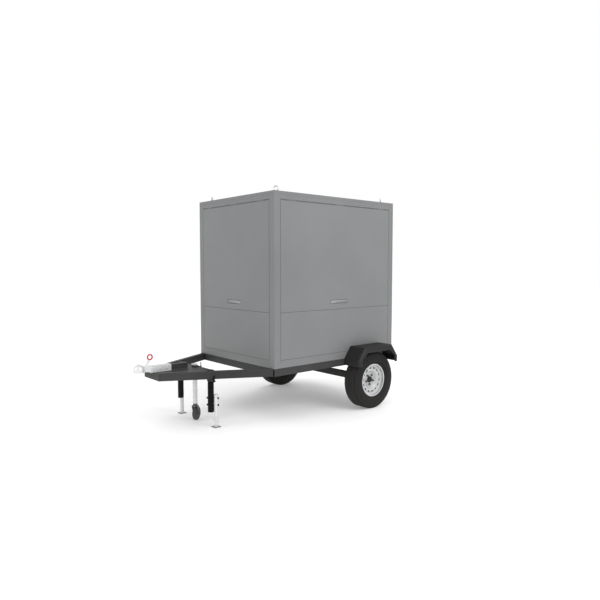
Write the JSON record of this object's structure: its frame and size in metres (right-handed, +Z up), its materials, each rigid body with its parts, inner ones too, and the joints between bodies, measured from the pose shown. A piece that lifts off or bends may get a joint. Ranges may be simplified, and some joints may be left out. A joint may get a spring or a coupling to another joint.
{
  "type": "towable diesel generator",
  "caption": "Soundproof canopy with a diesel generating set on a single-axle A-frame trailer with ball coupling, jockey wheel, prop stands, mudguards and lifting eyes.",
  "frame": {"origin": "on the ground, at the middle of the length and width of the whole machine", "axes": "+X forward to the coupling, +Y to the left, +Z up"},
  "size_m": [3.003, 1.902, 2.452],
  "materials": {
    "canopy_paint": "satin",
    "chassis_paint": "satin",
    "mount_rubber": "matte",
    "galvanised": "satin",
    "stainless": "polished",
    "black_enamel": "satin",
    "tyre_rubber": "matte",
    "wheel_silver": "satin",
    "jockey_rubber": "matte",
    "engine_castings": "satin",
    "black_plastic": "matte",
    "red_plastic": "gloss",
    "lamp_lens": "gloss"
  },
  "bodies": {
    "root": {"air_filter": "black_plastic", "axle_brackets": "chassis_paint", "axle_springs": "mount_rubber", "base_tank": "black_plastic", "battery": "black_plastic", "control_panel": "black_plastic", "corner_posts": "canopy_paint", "coupling_body": "galvanised", "coupling_stub": "chassis_paint", "cross_members": "chassis_paint", "door_hinges": "canopy_paint", "drawbar_clamps": "chassis_paint", "drawbar_legs": "chassis_paint", "drawbar_plates": "chassis_paint", "engine_block": "engine_castings", "fixed_panels": "canopy_paint", "frame_rails": "canopy_paint", "generator_end": "engine_castings", "genset_skid": "chassis_paint", "lifting_eyes": "stainless", "mudguards": "chassis_paint", "radiator": "black_enamel", "rear_lamps": "lamp_lens", "roof_cap": "canopy_paint", "roof_grille": "black_enamel", "side_rails": "chassis_paint", "silencer": "black_enamel", "sill_frame": "canopy_paint"},
    "axle": {"axle_beam": "chassis_paint"},
    "wheel_left": {"tyre_left": "tyre_rubber", "rim_left": "wheel_silver"},
    "wheel_right": {"tyre_right": "tyre_rubber", "rim_right": "wheel_silver"},
    "lever": {"coupling_lever": "galvanised"},
    "jockey_column": {"jockey_tube": "galvanised"},
    "jockey_clamp_screw": {"jockey_screw": "chassis_paint"},
    "jockey_castor": {"jockey_fork": "chassis_paint"},
    "jockey_roller": {"jockey_wheel": "jockey_rubber"},
    "stand_left": {"stand_post_left": "chassis_paint", "stand_leg_left": "galvanised"},
    "stand_right": {"stand_post_right": "chassis_paint", "stand_leg_right": "galvanised"},
    "clamp_screw_left": {"stand_screw_left": "chassis_paint"},
    "clamp_screw_right": {"stand_screw_right": "chassis_paint"},
    "fan": {"engine_fan": "black_plastic"},
    "stop_button": {"stop_button": "red_plastic"},
    "key": {"key_switch": "stainless"},
    "fuel_cap": {"fuel_cap": "black_plastic"},
    "door_left": {"door_left": "canopy_paint"},
    "handle_left": {"handle_left": "canopy_paint"},
    "strut_cylinders_left": {"strut_tubes_left": "black_enamel"},
    "strut_pistons_left": {"strut_rods_left": "galvanised"},
    "door_right": {"door_right": "canopy_paint"},
    "handle_right": {"handle_right": "canopy_paint"},
    "strut_cylinders_right": {"strut_tubes_right": "black_enamel"},
    "strut_pistons_right": {"strut_rods_right": "galvanised"},
    "door_front": {"door_front": "canopy_paint"},
    "handle_front": {"handle_front": "canopy_paint"},
    "strut_cylinders_front": {"strut_tubes_front": "black_enamel"},
    "strut_pistons_front": {"strut_rods_front": "galvanised"}
  },
  "joints": [
    {"name": "axle_travel", "type": "slide", "parent": "root", "child": "axle", "axis": [0, 0, 1], "range_m": [-0.04, 0.05], "stiffness_N_per_m": 150000, "springref_m": -0.1006, "deforming": ["axle_springs"]},
    {"name": "wheel_left_spin", "type": "hinge", "parent": "axle", "child": "wheel_left", "pos_m": [-0.9755, 0.8185, 0.325], "axis": [0, 1, 0], "continuous": true},
    {"name": "wheel_right_spin", "type": "hinge", "parent": "axle", "child": "wheel_right", "pos_m": [-0.9755, -0.8185, 0.325], "axis": [0, 1, 0], "continuous": true},
    {"name": "coupling_release", "type": "hinge", "parent": "root", "child": "lever", "pos_m": [1.3785, 0, 0.629], "axis": [0, 1, 0], "range_deg": [0, 40]},
    {"name": "jockey_slide", "type": "slide", "parent": "root", "child": "jockey_column", "axis": [0, 0, 1], "range_m": [0, 0.2]},
    {"name": "jockey_screw_turn", "type": "hinge", "parent": "root", "child": "jockey_clamp_screw", "pos_m": [0.7785, 0, 0.569], "axis": [1, 0, 0], "range_deg": [0, 360]},
    {"name": "jockey_swivel", "type": "hinge", "parent": "jockey_column", "child": "jockey_castor", "pos_m": [0.8285, 0, 0.205], "axis": [0, 0, 1], "continuous": true},
    {"name": "jockey_wheel_spin", "type": "hinge", "parent": "jockey_castor", "child": "jockey_roller", "pos_m": [0.80614, -0.01685, 0.0725], "axis": [-0.6018, 0.7986, 0], "continuous": true},
    {"name": "stand_left_slide", "type": "slide", "parent": "root", "child": "stand_left", "axis": [0, 0, 1], "range_m": [0, 0.13]},
    {"name": "stand_screw_left_turn", "type": "hinge", "parent": "root", "child": "clamp_screw_left", "pos_m": [0.84404, 0.36868, 0.496], "axis": [0.2756, 0.9613, 0], "range_deg": [0, 360]},
    {"name": "stand_right_slide", "type": "slide", "parent": "root", "child": "stand_right", "axis": [0, 0, 1], "range_m": [0, 0.13]},
    {"name": "stand_screw_right_turn", "type": "hinge", "parent": "root", "child": "clamp_screw_right", "pos_m": [0.84404, -0.36868, 0.496], "axis": [0.2756, -0.9613, 0], "range_deg": [0, 360]},
    {"name": "door_left_hinge", "type": "hinge", "parent": "root", "child": "door_left", "pos_m": [-0.5865, 0.715, 2.299], "axis": [1, 0, 0], "range_deg": [0, 85]},
    {"name": "handle_left_lift", "type": "hinge", "parent": "door_left", "child": "handle_left", "pos_m": [-0.5865, 0.714, 1.246], "axis": [1, 0, 0], "range_deg": [0, 40], "stiffness_Nm_per_rad": 2, "springref_deg": -17.19},
    {"name": "strut_left_swing", "type": "hinge", "parent": "root", "child": "strut_cylinders_left", "pos_m": [-0.5865, 0.66, 1.44941], "axis": [-1, 0, 0], "range_deg": [-0.01, 26.32]},
    {"name": "strut_left_extend", "type": "slide", "parent": "strut_cylinders_left", "child": "strut_pistons_left", "axis": [0, 0, 1], "range_m": [-0.0001, 0.33483]},
    {"name": "door_right_hinge", "type": "hinge", "parent": "root", "child": "door_right", "pos_m": [-0.5865, -0.715, 2.299], "axis": [-1, 0, 0], "range_deg": [0, 85]},
    {"name": "handle_right_lift", "type": "hinge", "parent": "door_right", "child": "handle_right", "pos_m": [-0.5865, -0.714, 1.246], "axis": [-1, 0, 0], "range_deg": [0, 40], "stiffness_Nm_per_rad": 2, "springref_deg": -17.19},
    {"name": "strut_right_swing", "type": "hinge", "parent": "root", "child": "strut_cylinders_right", "pos_m": [-0.5865, -0.66, 1.44941], "axis": [1, 0, 0], "range_deg": [-0.01, 26.32]},
    {"name": "strut_right_extend", "type": "slide", "parent": "strut_cylinders_right", "child": "strut_pistons_right", "axis": [0, 0, 1], "range_m": [-0.0001, 0.33483]},
    {"name": "door_front_hinge", "type": "hinge", "parent": "root", "child": "door_front", "pos_m": [0.3235, 0, 2.299], "axis": [0, -1, 0], "range_deg": [0, 85]},
    {"name": "handle_front_lift", "type": "hinge", "parent": "door_front", "child": "handle_front", "pos_m": [0.3225, 0, 1.246], "axis": [0, -1, 0], "range_deg": [0, 40], "stiffness_Nm_per_rad": 2, "springref_deg": -17.19},
    {"name": "strut_front_swing", "type": "hinge", "parent": "root", "child": "strut_cylinders_front", "pos_m": [0.2685, 0, 1.44941], "axis": [0, 1, 0], "range_deg": [-0.01, 26.32]},
    {"name": "strut_front_extend", "type": "slide", "parent": "strut_cylinders_front", "child": "strut_pistons_front", "axis": [0, 0, 1], "range_m": [-0.0001, 0.33483]},
    {"name": "engine_fan_spin", "type": "hinge", "parent": "root", "child": "fan", "pos_m": [0.0235, 0, 1.27], "axis": [1, 0, 0], "continuous": true},
    {"name": "stop_button_push", "type": "slide", "parent": "root", "child": "stop_button", "axis": [0, -1, 0], "range_m": [0, 0.006], "stiffness_N_per_m": 600, "springref_m": -0.004},
    {"name": "key_turn", "type": "hinge", "parent": "root", "child": "key", "pos_m": [-1.0015, 0.58, 1.79], "axis": [0, 1, 0], "range_deg": [0, 90]},
    {"name": "fuel_cap_turn", "type": "hinge", "parent": "root", "child": "fuel_cap", "pos_m": [-0.2865, 0.37, 1.194], "axis": [0, 0, 1], "range_deg": [0, 90]}
  ],
  "couplings": [
    {"joint": "strut_left_swing", "follows": "door_left_hinge", "ratio": 0.30948},
    {"joint": "strut_left_extend", "follows": "door_left_hinge", "m_per_rad": 0.22563},
    {"joint": "strut_right_swing", "follows": "door_right_hinge", "ratio": 0.30948},
    {"joint": "strut_right_extend", "follows": "door_right_hinge", "m_per_rad": 0.22563},
    {"joint": "strut_front_swing", "follows": "door_front_hinge", "ratio": 0.30948},
    {"joint": "strut_front_extend", "follows": "door_front_hinge", "m_per_rad": 0.22563}
  ]
}
